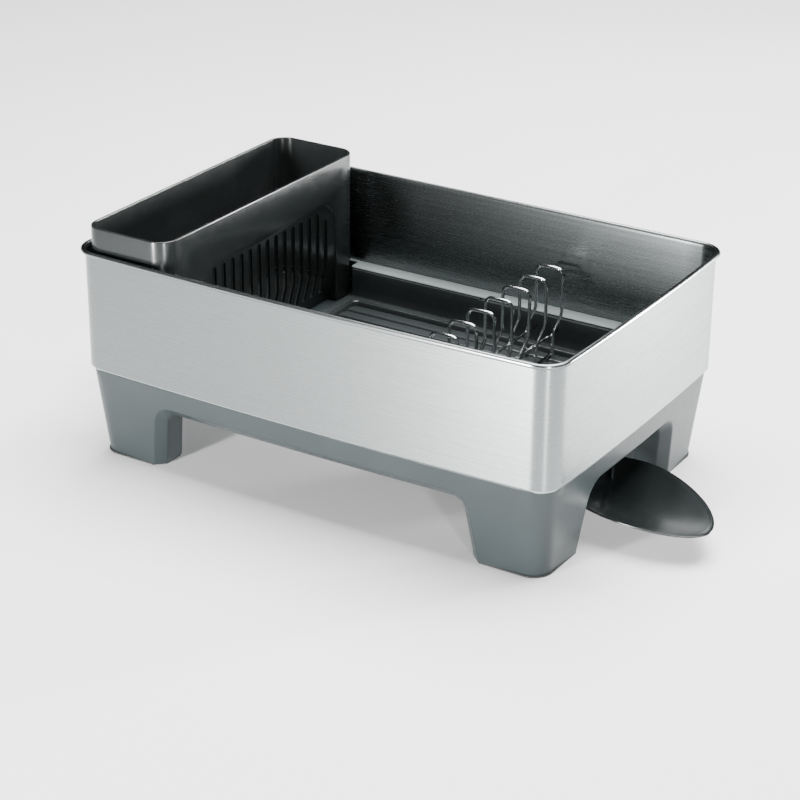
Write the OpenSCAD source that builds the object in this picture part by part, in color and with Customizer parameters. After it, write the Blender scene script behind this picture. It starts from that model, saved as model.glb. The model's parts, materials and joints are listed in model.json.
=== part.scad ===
// Dish drying rack: steel box on a moulded base, with a cutlery caddy, a wire plate rack
// and a drain spout that swivels. Millimetres, +Z up, feet on z = 0.

/* [Steel sleeve] */
// Outer length of the steel box
sleeve_l = 460; // [440:5:480]
// Outer depth of the steel box
sleeve_w = 302; // [290:2:320]
// Height of the centre of the rolled rim
rim_z = 187.3; // [180:1:200]
// Height of the lower edge of the steel
sleeve_z = 82.3; // [80:0.1:84]
// Radius of the upright corners
corner_r = 21; // [18:1:26]
// Thickness of the steel
sheet_t = 0.8; // [0.6:0.1:1.2]
// Radius of the rolled rim
bead_r = 2.2; // [1.8:0.1:2.6]

/* [Base] */
// Step from the steel in to the plastic skirt
base_step = 1.6; // [1:0.1:2.5]
// How far the skirt has come in at the floor
foot_inset = 10.5; // [8:0.5:13]
// Wall thickness of the moulding
wall = 3; // [2.5:0.1:3.2]
// Half width of the long arches at their feet
arch_long = 162; // [155:1:165]
// Half width of the end arches at their feet
arch_end = 83; // [78:1:86]
// Height of the arches
arch_h = 61.5; // [58:0.5:62]
// Size of the bevel round each arch
arch_bevel = 8; // [6:0.5:9]
// Height of the ledge inside the steel
ledge_z = 100; // [98:1:102]
// Width of the ledge
ledge_w = 20.5; // [18:0.5:22]
// Height of the tray floor between the ribs
floor_z = 67; // [66.5:0.1:67.5]

/* [Cutlery caddy] */
// Length of the caddy across the rack
caddy_l = 288.8; // [280:0.2:289]
// Width of the caddy
caddy_w = 85.9; // [80:0.1:86]
// Height of the caddy's top
caddy_top = 208.6; // [195:0.2:215]
// Number of upright slots
slot_n = 15; // [9:2:15]
// Distance between slots
slot_pitch = 13; // [12:0.5:13]
// Width of a slot
slot_w = 5; // [3:0.5:6]

/* [Plate rack] */
// Distance between hoops
hoop_pitch = 30; // [28:0.5:30]
// Height of the hoops' top wire
hoop_top = 147.3; // [130:1:155]
// Width of a hoop between wire centres
hoop_w = 26; // [22:1:30]
// Radius of the wire
wire_r = 1.5; // [1.2:0.1:1.6]

/* [Drain spout] */
// Angle of the spout from straight out
spout_angle = -19; // [-19:1:0]
// Half width of the leaf
leaf_b = 49.8; // [40:0.2:50]
// Length of the leaf outside its widest place
leaf_out = 91; // [80:1:95]
// Length of the leaf inside its widest place
leaf_in = 61; // [55:1:62]
// Depth of the leaf's dish
leaf_depth = 9; // [6:0.5:10]
// Radius of the outlet tube that the spout turns on
pivot_r = 10; // [9:0.5:10]

/* [Hidden] */
$fn = 64;
eps = 0.01;
big = 1000;

// The origin is under the middle of the whole outline, spout included
centre_x = 40;

steel_grey = [0.78, 0.80, 0.80];
base_grey = [0.42, 0.44, 0.44];
tray_grey = [0.16, 0.17, 0.17];
caddy_grey = [0.22, 0.23, 0.23];
rubber_black = [0.08, 0.08, 0.08];
chrome_grey = [0.85, 0.86, 0.87];

// Steel sleeve
bead_out = 1.5;

// Base: half sizes of the skirt at the steel and at the floor
skirt_top = [sleeve_l / 2 - base_step, sleeve_w / 2 - base_step];
skirt_foot = [sleeve_l / 2 - foot_inset, sleeve_w / 2 - foot_inset];
skirt_r = 18;
foot_t = 1.5;
stem_at = [192, 116];
stem_r = 4;
stem_h = 6;
stem_hole = 10;
foot_in = 0.5;
upstand_gap = 0.2;
upstand = [sleeve_l / 2 - sheet_t - upstand_gap, sleeve_w / 2 - sheet_t - upstand_gap];
shoulder = [sleeve_l / 2 - sheet_t / 2, sleeve_w / 2 - sheet_t / 2];
shoulder_t = 1.2;
cavity = [upstand[0] - ledge_w + 0.5, upstand[1] - ledge_w];
cavity_r = 14;
floor_under = floor_z - wall;
border_z = 72;
border_w = 6;
border_end = 1.2;
tray_t = 2.4;
tray_gap = 0.3;
tray_drop = 1.8;
tray_left = -133;
frame_t = 2.3;
lip_w = 6;
lip_t = 2.5;
bay_hollow = [76, 140, 5];
rib_top = 69;
rib_w = 8;
rib_pitch = 15;
rib_shift = 0.3;
rib_end = 23;
bay_x = -136.2;
bay = [sleeve_l / 2 - 5.5, sleeve_w / 2 - 5.8];
bay_r = 17;
arch_r = 21;
arch_lean = 0.15;
bevel_side = 9;
rim_lip = 2;
arch_cut = 60;

// Legs: outline of the open space between them, at the floor, in one quarter
leg_x = arch_long - bevel_side;
leg_y = arch_end - bevel_side;
leg_cut = 38;
space_taper = [0.957, 0.94];
leg_middle = [30, 20];

// Drain
pivot = [192, 0];
outlet_bore = 7.5;
outlet_end = 34;
flange_r = 12.5;
flange_t = 1.5;
running = 0.1;
collar_z = [42, 60];
collar_r = 15.5;
ring_z = [39.7, 41.7];
ring_r = 12;
groove_depth = 1.2;
ring_gap = 12;
ring_cut = 10;
ring_fit = 0.05;
post_r = 12.8;
post_t = 2.4;
post_w = 6;
post_at = [60, 180, 300];
leaf_tilt = 0.05;
leaf_rim_z = 31.6;
leaf_reach = 37;
leaf_t = 2.2;
leaf_n = 1.74;
leaf_steps = 48;
rim_scale = 0.96;
rim_drop = 0.6 * leaf_t;

// Caddy
caddy_x = -180.05;
caddy_z = border_z;
caddy_r = 16.5;
caddy_t = 2.2;
panel_y = [-98, 108.6];
panel_top = 172.5;
panel_r = 25;
panel_in = 1.5;
panel_lean_z = [80, 112];
panel_lean = 8;
pocket_cut = 30;
slot_y0 = -88.4;
slot_top = 167;
slot_drop = 10;
slot_foot = 84;
slot_cut = [15, 20];
floor_slot = [40, 4];
floor_slot_in = 25;
floor_slot_y = [-110 : 20 : 110];

// Plate rack
hoop_x = [64, 64 + hoop_w];
hoop_n = 8;
hoop_mid = 19.5;
hoop_y0 = hoop_mid + hoop_pitch * (hoop_n - 1) / 2;
hoop_bend_r = 8;
dog_y = 15;
dog_z = [92.5, 105.5];
bend_proud = 0.05;
weld = 0.2;
rail_z = 90;
rail_y = [-114, 124];
runner_y = [-105, 114];

module rounded(l, w, r) {
  square([l - 2 * r, w], center = true);
  square([l, w - 2 * r], center = true);
  for (x = [-1, 1], y = [-1, 1])
    translate([x * (l / 2 - r), y * (w / 2 - r)])
      circle(r);
}

module in_place() {
  translate([-centre_x, 0, 0])
    children();
}

// ---- steel sleeve ----

// Section of the wall with its rolled rim, drawn outwards from the wall's inner face
module sleeve_section() {
  translate([-sheet_t, sleeve_z])
    square([sheet_t, rim_z - sleeve_z]);
  translate([bead_out, rim_z])
    circle(bead_r);
}

module sleeve_side(length, out) {
  translate([length / 2, 0, 0])
    rotate([90, 0, -90])
      linear_extrude(length)
        translate([out, 0])
          sleeve_section();
}

module steel_sleeve() {
  long = sleeve_l / 2 - corner_r;
  short = sleeve_w / 2 - corner_r;
  color(steel_grey)
    in_place() {
      for (s = [0, 180])
        rotate([0, 0, s]) {
          sleeve_side(2 * long, sleeve_w / 2);
          rotate([0, 0, 90])
            sleeve_side(2 * short, sleeve_l / 2);
        }
      for (q = [0 : 3]) {
        sx = (q == 0 || q == 3) ? 1 : -1;
        sy = q < 2 ? 1 : -1;
        translate([sx * long, sy * short, 0])
          rotate([0, 0, 90 * q])
            rotate_extrude(angle = 90)
              translate([corner_r, 0])
                sleeve_section();
      }
    }
}

// ---- base tray ----

// Skirt with its draft, drawn in by inset on every side
module skirt_body(inset, z0) {
  foot = [skirt_foot[0] - inset, skirt_foot[1] - inset];
  top = [skirt_top[0] - inset, skirt_top[1] - inset];
  translate([0, 0, z0])
    linear_extrude(height = sleeve_z - z0, scale = [top[0] / foot[0], top[1] / foot[1]], slices = 1)
      rounded(2 * foot[0], 2 * foot[1], skirt_r - inset);
}

// Open space under the floor, between the legs, grown by grow
module leg_space(grow) {
  x = leg_x + grow;
  y = leg_y + grow;
  d = leg_cut + grow * (2 - sqrt(2));
  linear_extrude(height = floor_under, scale = space_taper, slices = 1)
    polygon([[x, big], [x, y + d], [x + d, y], [big, y], [big, -y], [x + d, -y], [x, -y - d],
      [x, -big], [-x, -big], [-x, -y - d], [-x - d, -y], [-big, -y], [-big, y], [-x - d, y],
      [-x, y + d], [-x, big]]);
}

// Arch outline: half width at the foot, height and corner radius
module arch(half, h, r) {
  side = half - arch_lean * (h - r);
  polygon(concat(
    [[half, -1]],
    [for (a = [0 : 15 : 90]) [side - r + r * cos(a), h - r + r * sin(a)]],
    [for (a = [90 : 15 : 180]) [r - side + r * cos(a), h - r + r * sin(a)]],
    [[-half, -1]]));
}

module arch_slab(half, h, r, y, t) {
  translate([0, y + t, 0])
    rotate([90, 0, 0])
      linear_extrude(t)
        arch(half, h, r);
}

// Cutter for one arch: the opening, and the bevel that widens to the outer face at y = face
module arch_cutter(half, face) {
  slope = (skirt_top[1] - skirt_foot[1]) / sleeve_z;
  arch_slab(half - bevel_side, arch_h - arch_bevel, arch_r - arch_bevel, face - arch_cut / 2,
    arch_cut);
  hull() {
    arch_slab(half - bevel_side, arch_h - arch_bevel, arch_r - arch_bevel, face - arch_bevel, eps);
    arch_slab(half + slope, arch_h + slope, arch_r, face + arch_h * slope, 1);
  }
}

module arches() {
  for (s = [0, 180]) {
    rotate([0, 0, s])
      arch_cutter(arch_long, skirt_foot[1]);
    rotate([0, 0, s + 90])
      arch_cutter(arch_end, skirt_foot[0]);
  }
}

// Thickened rim round each arch, so that the bevel has something to lie on
module arch_rims() {
  grow = rim_lip + wall;
  difference() {
    intersection() {
      skirt_body(0, 0);
      for (s = [0, 90])
        rotate([0, 0, s])
          arch_slab((s == 0 ? arch_long : arch_end) + grow, arch_h + grow, arch_r + grow, -big, 2 * big);
    }
    skirt_body(arch_bevel + wall, -1);
    translate([0, 0, -1])
      leg_keep_out();
  }
}

// Keeps the thick rims out of the legs' middles
module leg_keep_out() {
  in = [skirt_foot[0] - 2 * wall, skirt_foot[1] - 2 * wall];
  for (x = [-1, 1], y = [-1, 1])
    translate([x * (arch_long + 2 * wall + in[0]) / 2, y * (arch_end + 2 * wall + in[1]) / 2, 0])
      linear_extrude(floor_under)
        square(leg_middle, center = true);
}

module skirt_shell() {
  difference() {
    skirt_body(0, 0);
    skirt_body(wall, -1);
  }
}

module leg_walls() {
  intersection() {
    skirt_body(wall / 2, 0);
    difference() {
      leg_space_solid(0);
      leg_space_solid(wall);
    }
  }
}

// The legs' own block, inside the space's outline, drawn in by inset
module leg_space_solid(inset) {
  difference() {
    translate([-big / 2, -big / 2, inset > 0 ? -1 : 0])
      cube([big, big, floor_under + (inset > 0 ? 1 : 0)]);
    leg_space(inset);
  }
}

// Plan of the drip tray's hollow, grown by grow
module tray_outline(grow) {
  intersection() {
    rounded(2 * (cavity[0] + grow), 2 * (cavity[1] + grow), cavity_r + grow);
    translate([tray_left - grow, -big / 2])
      square([big, big]);
  }
}

// Upstand that the steel fits over, the ledge, and the wall that holds the drip tray
module frame_block() {
  grow = tray_t + tray_gap + frame_t;
  translate([0, 0, floor_under - lip_t])
    linear_extrude(ledge_z - floor_under + lip_t)
      tray_outline(grow);
  translate([0, 0, ledge_z - wall])
    linear_extrude(wall)
      rounded(2 * upstand[0], 2 * upstand[1], corner_r - sheet_t - upstand_gap);
  translate([0, 0, sleeve_z - shoulder_t])
    linear_extrude(shoulder_t)
      difference() {
        rounded(2 * shoulder[0], 2 * shoulder[1], corner_r - sheet_t / 2);
        rounded(2 * (upstand[0] - wall), 2 * (upstand[1] - wall), corner_r - sheet_t - wall);
      }
  translate([0, 0, sleeve_z - wall])
    linear_extrude(ledge_z - sleeve_z + wall)
      difference() {
        rounded(2 * upstand[0], 2 * upstand[1], corner_r - sheet_t - upstand_gap);
        rounded(2 * (upstand[0] - wall), 2 * (upstand[1] - wall), corner_r - sheet_t - wall);
      }
  bay_block();
}

// Space that the drip tray drops into, over a lip that it rests on
module tray_space() {
  translate([0, 0, floor_under])
    linear_extrude(big)
      tray_outline(tray_t + tray_gap);
  linear_extrude(floor_under + 1)
    tray_outline(tray_t - lip_w);
}

module bay_outline(grow) {
  intersection() {
    rounded(2 * (bay[0] + grow), 2 * (bay[1] + grow), bay_r + grow);
    translate([-big, -big / 2])
      square([big + bay_x + grow, big]);
  }
}

module bay_block() {
  intersection() {
    translate([0, 0, floor_under])
      linear_extrude(ledge_z - floor_under)
        bay_outline(wall);
    union() {
      skirt_body(0, 0);
      translate([0, 0, sleeve_z - eps])
        linear_extrude(ledge_z)
          rounded(2 * upstand[0], 2 * upstand[1], corner_r - sheet_t - upstand_gap);
    }
  }
}

// Bay that the caddy stands in, with the underside of its floor hollowed
module bay_space() {
  translate([0, 0, border_z])
    linear_extrude(big)
      bay_outline(0);
  translate([bay_x - bay_hollow[2] - bay_hollow[0], -bay_hollow[1] / 2, 0])
    cube([bay_hollow[0], bay_hollow[1], border_z - wall]);
}

// Hollow of the drip tray above its floor
module tray_cavity() {
  translate([0, 0, border_z])
    linear_extrude(big)
      tray_outline(0);
  translate([-big, -big / 2, border_z - tray_gap])
    cube([big + tray_left, big, big]);
  difference() {
    translate([tray_left + border_w, -cavity[1] + border_w, floor_z])
      cube([cavity[0] - tray_left - border_w - border_end, 2 * (cavity[1] - border_w), big]);
    ribs();
  }
}

module ribs() {
  n = floor((cavity[1] - border_w) / rib_pitch);
  for (i = [-n : n - 1])
    translate([bay_x, (i + rib_shift) * rib_pitch - rib_w / 2, 0])
      cube([pivot[0] - rib_end - bay_x, rib_w, rib_top]);
}

module leg_floors() {
  for (sx = [-1, 1], sy = [-1, 1])
    translate([0, 0, foot_t])
      linear_extrude(wall)
        leg_plan(sx, sy, 1);
}

module base_frame() {
  color(base_grey)
    in_place()
      difference() {
        union() {
          skirt_shell();
          leg_walls();
          arch_rims();
          leg_floors();
          frame_block();
        }
        tray_space();
        bay_space();
        arches();
        translate([-big / 2, -big / 2, -eps])
          cube([big, big, foot_t + eps]);
        for (x = [-1, 1], y = [-1, 1])
          translate([x * stem_at[0], y * stem_at[1], 0])
            cylinder(h = stem_hole, r = stem_r + running);
      }
}

module drip_tray() {
  color(tray_grey)
    in_place()
      difference() {
        translate([0, 0, floor_under])
          linear_extrude(ledge_z - tray_drop - floor_under)
            tray_outline(tray_t);
        tray_cavity();
        translate([pivot[0], pivot[1], 0])
          cylinder(h = big, r = pivot_r + running);
      }
}

// ---- rubber feet ----

// Leg outline at the floor in the quarter given by the signs sx and sy, drawn in by inset
module leg_plan(sx, sy, inset) {
  x = leg_x + inset;
  y = leg_y + inset;
  d = leg_cut + inset * (2 - sqrt(2));
  t = inset * (sqrt(2) - 1);
  out_x = skirt_foot[0] - inset;
  out_y = skirt_foot[1] - inset;
  intersection() {
    rounded(2 * out_x, 2 * out_y, skirt_r - inset);
    scale([sx, sy])
      polygon([[x, skirt_foot[1] - arch_bevel - t], [x, y + d], [x + d, y],
        [skirt_foot[0] - arch_bevel - t, y], [out_x, leg_y + bevel_side + t], [out_x, out_y],
        [leg_x + bevel_side + t, out_y]]);
  }
}

module foot(sx, sy) {
  color(rubber_black)
    in_place() {
      linear_extrude(foot_t)
        leg_plan(sx, sy, foot_in);
      translate([sx * stem_at[0], sy * stem_at[1], 0])
        cylinder(h = stem_h, r = stem_r);
    }
}

// ---- cutlery caddy ----

// Pocket in the caddy's wall that the slotted panel sits back in, grown by grow
module panel_pocket(grow) {
  face = caddy_x + caddy_w / 2;
  back = face - panel_in - grow;
  intersection() {
    translate([face - pocket_cut, 0, 0])
      rotate([90, 0, 90])
        linear_extrude(pocket_cut + 1)
          panel_outline(grow);
    translate([0, big / 2, 0])
      rotate([90, 0, 0])
        linear_extrude(big)
          polygon([[face + 1, 0], [face + 1, big], [back, big], [back, panel_lean_z[1]],
            [back - panel_lean, panel_lean_z[0]], [back - panel_lean, 0]]);
  }
}

// Panel outline in the wall's plane: straight foot, round upper corners
module panel_outline(grow) {
  y0 = panel_y[0] - grow;
  y1 = panel_y[1] + grow;
  top = panel_top + grow;
  r = panel_r + grow;
  foot = caddy_z - 1;
  translate([y0, foot])
    square([y1 - y0, top - r - foot]);
  translate([y0 + r, foot])
    square([y1 - y0 - 2 * r, top - foot]);
  for (y = [y0 + r, y1 - r])
    translate([y, top - r])
      circle(r);
}

module slot(y, top) {
  translate([caddy_x + caddy_w / 2 - slot_cut[0], 0, 0])
    rotate([90, 0, 90])
      linear_extrude(slot_cut[1]) {
        translate([y - slot_w / 2, slot_foot])
          square([slot_w, top - slot_w / 2 - slot_foot]);
        translate([y, top - slot_w / 2])
          circle(slot_w / 2);
      }
}

module cutlery_caddy() {
  color(caddy_grey)
    in_place()
      difference() {
        translate([caddy_x, 0, caddy_z])
          linear_extrude(caddy_top - caddy_z)
            rounded(caddy_w, caddy_l, caddy_r);
        difference() {
          translate([caddy_x, 0, caddy_z + caddy_t])
            linear_extrude(caddy_top)
              rounded(caddy_w - 2 * caddy_t, caddy_l - 2 * caddy_t, caddy_r - caddy_t);
          panel_pocket(caddy_t);
        }
        panel_pocket(0);
        for (i = [0 : slot_n - 1]) {
          edge = (i == 0 || i == slot_n - 1);
          slot(slot_y0 + i * slot_pitch, edge ? slot_top - slot_drop : slot_top);
        }
        for (y = floor_slot_y)
          translate([caddy_x - floor_slot_in, y - floor_slot[1] / 2, 0])
            cube([floor_slot[0], floor_slot[1], caddy_z + 2 * caddy_t]);
      }
}

// ---- drain ----

module drain_outlet() {
  color(base_grey)
    in_place()
      translate([pivot[0], pivot[1], 0])
        difference() {
          union() {
            translate([0, 0, outlet_end])
              cylinder(h = floor_z - outlet_end + eps, r = pivot_r);
            translate([0, 0, floor_z])
              cylinder(h = flange_t, r = flange_r);
          }
          translate([0, 0, outlet_end - 1])
            cylinder(h = floor_z, r = outlet_bore);
          translate([0, 0, ring_z[0] - running])
            difference() {
              cylinder(h = ring_z[1] - ring_z[0] + 2 * running, r = pivot_r + 1);
              translate([0, 0, -1])
                cylinder(h = ring_cut, r = pivot_r - groove_depth);
            }
        }
}

module retaining_ring() {
  color(chrome_grey)
    in_place()
      translate([pivot[0], pivot[1], ring_z[0]])
        difference() {
          cylinder(h = ring_z[1] - ring_z[0], r = ring_r);
          translate([0, 0, -1])
            cylinder(h = ring_cut, r = pivot_r - groove_depth + ring_fit);
          translate([0, -ring_gap / 2, -1])
            cube([ring_r + 1, ring_gap, ring_cut]);
        }
}

// Leaf outline, scaled by s: round inner end, pointed outer end
function leaf_point(a, s) = let (
    c = cos(a),
    d = sin(a),
    out = c > 0)
  [leaf_reach + s * (out ? leaf_out * pow(c, 2 / leaf_n) : leaf_in * c),
   s * leaf_b * (out ? sign(d) * pow(abs(d), 2 / leaf_n) : d)];

function leaf_ring(s, z) = [for (i = [0 : leaf_steps - 1])
  let (p = leaf_point(360 * i / leaf_steps, s)) [p[0], p[1], z - leaf_tilt * p[0]]];

function dish_z(s) = -leaf_depth * (1 - pow(s / rim_scale, 2));

// Skin of a stack of equal rings, closed at both ends
module skin(rings) {
  n = len(rings[0]);
  m = len(rings);
  points = [for (ring = rings) each ring];
  sides = [for (k = [0 : m - 2], i = [0 : n - 1])
    let (j = (i + 1) % n)
    each [[(k + 1) * n + j, k * n + j, k * n + i], [(k + 1) * n + i, (k + 1) * n + j, k * n + i]]];
  first = [for (i = [0 : n - 1]) i];
  last = [for (i = [n - 1 : -1 : 0]) (m - 1) * n + i];
  polyhedron(points, concat([first], sides, [last]), convexity = 4);
}

module leaf_dish() {
  inner = [0.05, 0.3, 0.52, 0.7, 0.84, 0.93];
  under = [for (s = inner) leaf_ring(s, dish_z(s) - leaf_t)];
  upper = [for (i = [len(inner) - 1 : -1 : 0]) leaf_ring(inner[i], dish_z(inner[i]))];
  skin(concat(under, [leaf_ring(1, -rim_drop), leaf_ring(1, 0), leaf_ring(rim_scale, 0)], upper));
}

// Height of the dish's upper face inside the leaf's widest place
function dish_height(x, y) =
  leaf_rim_z + dish_z(norm([(x - leaf_reach) / leaf_in, y / leaf_b])) - leaf_tilt * x;

// Post from the dish up to the collar, in the direction a
module post(a) {
  r = post_r + post_t / 2;
  foot = dish_height(r * cos(a), r * sin(a)) - leaf_t / 2;
  rotate([0, 0, a])
    translate([post_r, -post_w / 2, foot])
      cube([post_t, post_w, collar_z[0] + 1 - foot]);
}

module drain_spout() {
  color(caddy_grey)
    in_place()
      translate([pivot[0], pivot[1], 0])
        rotate([0, 0, spout_angle]) {
          translate([0, 0, leaf_rim_z])
            leaf_dish();
          for (a = post_at)
            post(a);
          difference() {
            translate([0, 0, collar_z[0]])
              cylinder(h = collar_z[1] - collar_z[0], r = collar_r);
            translate([0, 0, collar_z[0] - 1])
              cylinder(h = big, r = pivot_r + running);
          }
        }
}

// ---- plate rack ----

// Straight wire from a to b in the plane x = 0, given as [y, z]
module wire_run(a, b) {
  d = b - a;
  translate([0, a[0], a[1]])
    rotate([-atan2(d[0], d[1]), 0, 0])
      cylinder(h = norm(d), r = wire_r);
}

// Bend of the dog-leg at [y, z], a little proud of the wire
module wire_bend(p) {
  translate([0, p[0], p[1]])
    sphere(wire_r + bend_proud);
}

module hoop_leg(x, y) {
  knee = [y, dog_z[1]];
  ankle = [y - dog_y, dog_z[0]];
  translate([x, 0, 0]) {
    wire_run(knee, [y, hoop_top - hoop_bend_r]);
    wire_bend(knee);
    wire_run(ankle, knee);
    wire_bend(ankle);
    wire_run([ankle[0], rib_top], ankle);
  }
}

// Quarter bend in the plane y = 0 about the origin, from +Z round to +X or to -X
module top_bend(side) {
  rotate([90, 0, 0])
    rotate([0, 0, side > 0 ? 0 : 90])
      rotate_extrude(angle = 90)
        translate([hoop_bend_r, 0])
          circle(wire_r);
}

module plate_hoop(i) {
  y = hoop_y0 - (i - 1) * hoop_pitch;
  color(chrome_grey)
    in_place() {
      for (x = hoop_x)
        hoop_leg(x, y);
      translate([hoop_x[0] + hoop_bend_r, y, hoop_top - hoop_bend_r])
        top_bend(-1);
      translate([hoop_x[1] - hoop_bend_r, y, hoop_top - hoop_bend_r])
        top_bend(1);
      translate([hoop_x[0] + hoop_bend_r, y, hoop_top])
        rotate([0, 90, 0])
          cylinder(h = hoop_w - 2 * hoop_bend_r, r = wire_r);
    }
}

// Straight wire on the inner side of the hoops' legs, on the left or the right
module side_wire(right, z, y) {
  x = right ? hoop_x[1] - 2 * wire_r + weld : hoop_x[0] + 2 * wire_r - weld;
  color(chrome_grey)
    in_place()
      translate([x, y[0], z])
        rotate([-90, 0, 0])
          cylinder(h = y[1] - y[0], r = wire_r);
}

module rail(right) {
  side_wire(right, rail_z, rail_y);
}

module runner(right) {
  side_wire(right, rib_top + wire_r, runner_y);
}

steel_sleeve();
base_frame();
drip_tray();
cutlery_caddy();
drain_outlet();
retaining_ring();
drain_spout();
foot(-1, -1);  // foot_front_left
foot(1, -1);  // foot_front_right
foot(-1, 1);  // foot_back_left
foot(1, 1);  // foot_back_right
plate_hoop(1);  // plate_hoop_1
plate_hoop(2);  // plate_hoop_2
plate_hoop(3);  // plate_hoop_3
plate_hoop(4);  // plate_hoop_4
plate_hoop(5);  // plate_hoop_5
plate_hoop(6);  // plate_hoop_6
plate_hoop(7);  // plate_hoop_7
plate_hoop(8);  // plate_hoop_8
rail(false);  // rail_left
rail(true);  // rail_right
runner(false);  // runner_left
runner(true);  // runner_right
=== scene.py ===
"""Dish drying rack: brushed steel box on a moulded base, caddy, wire plate rack and drain spout."""
import json
from math import atan, cos, pi, radians, sin, sqrt

import bpy
import bmesh
from mathutils import Matrix, Vector


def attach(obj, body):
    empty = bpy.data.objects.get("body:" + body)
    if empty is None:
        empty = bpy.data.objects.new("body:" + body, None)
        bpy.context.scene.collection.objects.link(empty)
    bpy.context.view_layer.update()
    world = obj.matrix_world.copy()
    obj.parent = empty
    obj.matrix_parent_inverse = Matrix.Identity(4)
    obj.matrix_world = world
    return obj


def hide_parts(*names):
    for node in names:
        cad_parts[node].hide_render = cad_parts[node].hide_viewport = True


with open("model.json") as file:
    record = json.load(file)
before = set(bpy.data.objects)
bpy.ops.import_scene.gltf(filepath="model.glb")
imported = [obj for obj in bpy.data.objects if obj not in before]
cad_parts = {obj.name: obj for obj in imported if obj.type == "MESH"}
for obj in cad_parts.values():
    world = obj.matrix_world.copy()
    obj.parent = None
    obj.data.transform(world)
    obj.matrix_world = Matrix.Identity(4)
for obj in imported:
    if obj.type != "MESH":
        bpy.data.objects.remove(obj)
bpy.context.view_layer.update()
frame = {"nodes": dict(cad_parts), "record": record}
NODES = frame["nodes"]

# Distances below are in millimetres from the steel box's own middle, with the feet at z = 0.
SHIFT = 40.0


def mm(x, y, z):
    return Vector(((x - SHIFT) / 1000.0, y / 1000.0, z / 1000.0))


# ---------------------------------------------------------------- materials

def material(name, color, rough, metallic=0.0, aniso=0.0, specular=0.5):
    m = bpy.data.materials.new(name)
    m.use_nodes = True
    p = m.node_tree.nodes["Principled BSDF"]
    p.inputs["Base Color"].default_value = (*color, 1)
    p.inputs["Roughness"].default_value = rough
    p.inputs["Metallic"].default_value = metallic
    p.inputs["Anisotropic"].default_value = aniso
    p.inputs["Specular IOR Level"].default_value = specular
    return m


def add(m, kind, **values):
    n = m.node_tree.nodes.new(kind)
    for k, v in values.items():
        if k in n.inputs:
            n.inputs[k].default_value = v
        else:
            setattr(n, k, v)
    return n


def wire(m, a, out, b, into):
    m.node_tree.links.new(a.outputs[out], b.inputs[into])


def coords(m, scale):
    t = add(m, "ShaderNodeTexCoord")
    s = add(m, "ShaderNodeMapping", Scale=scale)
    wire(m, t, "Object", s, "Vector")
    return s


def texture(m, scale, size, detail=3.0, rough=0.55):
    s = coords(m, scale)
    n = add(m, "ShaderNodeTexNoise", Scale=size, Detail=detail, Roughness=rough)
    wire(m, s, "Vector", n, "Vector")
    return n


def spread(m, src, out, lo, hi):
    """Maps the middle of a noise's range to lo and hi."""
    r = add(m, "ShaderNodeMapRange")
    wire(m, src, out, r, "Value")
    r.inputs["From Min"].default_value = 0.3
    r.inputs["From Max"].default_value = 0.7
    r.inputs["To Min"].default_value = lo
    r.inputs["To Max"].default_value = hi
    return r


def vary_rough(m, n, lo, hi):
    wire(m, spread(m, n, "Fac", lo, hi), "Result", m.node_tree.nodes["Principled BSDF"], "Roughness")


def vary_color(m, n, dark, light):
    c = add(m, "ShaderNodeValToRGB")
    c.color_ramp.elements[0].position = 0.3
    c.color_ramp.elements[1].position = 0.7
    c.color_ramp.elements[0].color = (*dark, 1)
    c.color_ramp.elements[1].color = (*light, 1)
    wire(m, n, "Fac", c, "Fac")
    wire(m, c, "Color", m.node_tree.nodes["Principled BSDF"], "Base Color")


def bump(m, n, strength, distance):
    b = add(m, "ShaderNodeBump", Strength=strength, Distance=distance)
    wire(m, n, "Fac", b, "Height")
    wire(m, b, "Normal", m.node_tree.nodes["Principled BSDF"], "Normal")


def plastic(name, dark, light, rough, grain=900.0, specular=0.5):
    """Moulded plastic with a fine grain, slow changes of tone and slight changes of gloss."""
    m = material(name, light, rough, specular=specular)
    broad = texture(m, (1, 1, 1), 14.0, 2.0)
    vary_color(m, broad, dark, light)
    vary_rough(m, texture(m, (1, 1, 1), 110.0, 4.0), rough - 0.02, rough + 0.03)
    bump(m, texture(m, (1, 1, 1), grain, 2.0), 0.08, 0.0003)
    return m


def brushed(name, dark, light, rough, along):
    """Brushed metal: noise stretched by the scales in along, and a highlight spread across the grain."""
    m = material(name, light, rough, metallic=1.0, aniso=0.8)
    m.node_tree.nodes["Principled BSDF"].inputs["Anisotropic Rotation"].default_value = 0.25
    fine = texture(m, along, 1.0, 4.0, 0.6)
    vary_color(m, fine, dark, light)
    vary_rough(m, texture(m, [v * 0.4 for v in along], 1.0, 3.0), rough - 0.02, rough + 0.025)
    bump(m, fine, 0.0025, 0.0001)
    return m


STEEL = brushed("brushed steel", (0.200, 0.217, 0.216), (0.215, 0.232, 0.231), 0.27, (9, 9, 4200))
RING = brushed("satin steel", (0.5, 0.5, 0.5), (0.65, 0.65, 0.65), 0.35, (400, 400, 2600))
BASE = plastic("base plastic", (0.020, 0.026, 0.027), (0.024, 0.031, 0.032), 0.33, specular=0.28)
# painted light: the ledge is base plastic, coloured about ten times lighter than BASE to stand for the light its
# upward face catches
PAINTED_LIGHT_LEDGE = plastic("base plastic with painted light on the ledge", (0.22, 0.25, 0.25), (0.25, 0.28, 0.28), 0.36)
CADDY = plastic("caddy plastic", (0.010, 0.012, 0.012), (0.013, 0.015, 0.015), 0.20, specular=0.4)
TRAY = plastic("tray plastic", (0.028, 0.032, 0.033), (0.036, 0.041, 0.042), 0.22)
SPOUT = plastic("spout plastic", (0.006, 0.008, 0.008), (0.008, 0.010, 0.010), 0.22, grain=1400.0, specular=0.3)
RUBBER = plastic("rubber", (0.010, 0.010, 0.010), (0.018, 0.018, 0.018), 0.75)
CHROME = material("chrome", (0.56, 0.58, 0.58), 0.10, metallic=1.0)
vary_rough(CHROME, texture(CHROME, (1, 1, 1), 220.0), 0.07, 0.16)
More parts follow.
